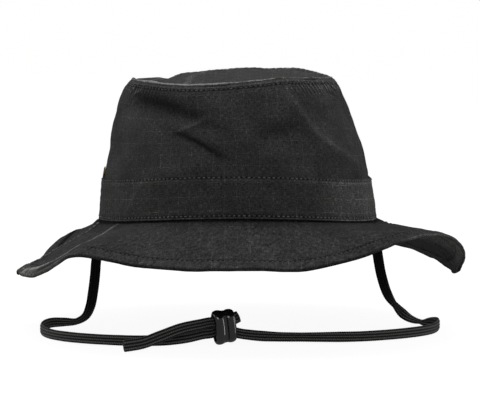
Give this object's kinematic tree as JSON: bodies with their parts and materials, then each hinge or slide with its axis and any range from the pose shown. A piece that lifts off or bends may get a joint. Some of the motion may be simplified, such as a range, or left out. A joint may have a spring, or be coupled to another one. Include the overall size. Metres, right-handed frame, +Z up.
{
  "type": "angler hat",
  "caption": "Soft ripstop sun hat with a dented bucket crown, a drooping hemmed brim and a flat braided chin strap that runs through a plastic slider.",
  "frame": {"origin": "middle of the head opening, at the height of the base seam beside the ears", "axes": "+Z up out of the crown, -Y to the front of the hat, +X to the right of someone who looks at its front"},
  "size_m": [0.2779, 0.3207, 0.1588],
  "materials": {
    "cotton": "matt black ripstop cotton",
    "braid": "flat black braid",
    "glossy_plastic": "moulded, glossy black",
    "aged_brass": "pressed, dulled"
  },
  "bodies": {
    "root": {"crown_tip": "cotton", "crown_wall": "cotton", "crown_band": "cotton", "brim": "cotton", "eyelet_right": "aged_brass", "eyelet_left": "aged_brass", "strap_left": "braid", "strap_right": "braid", "strap_slider": "glossy_plastic"}
  },
  "joints": []
}
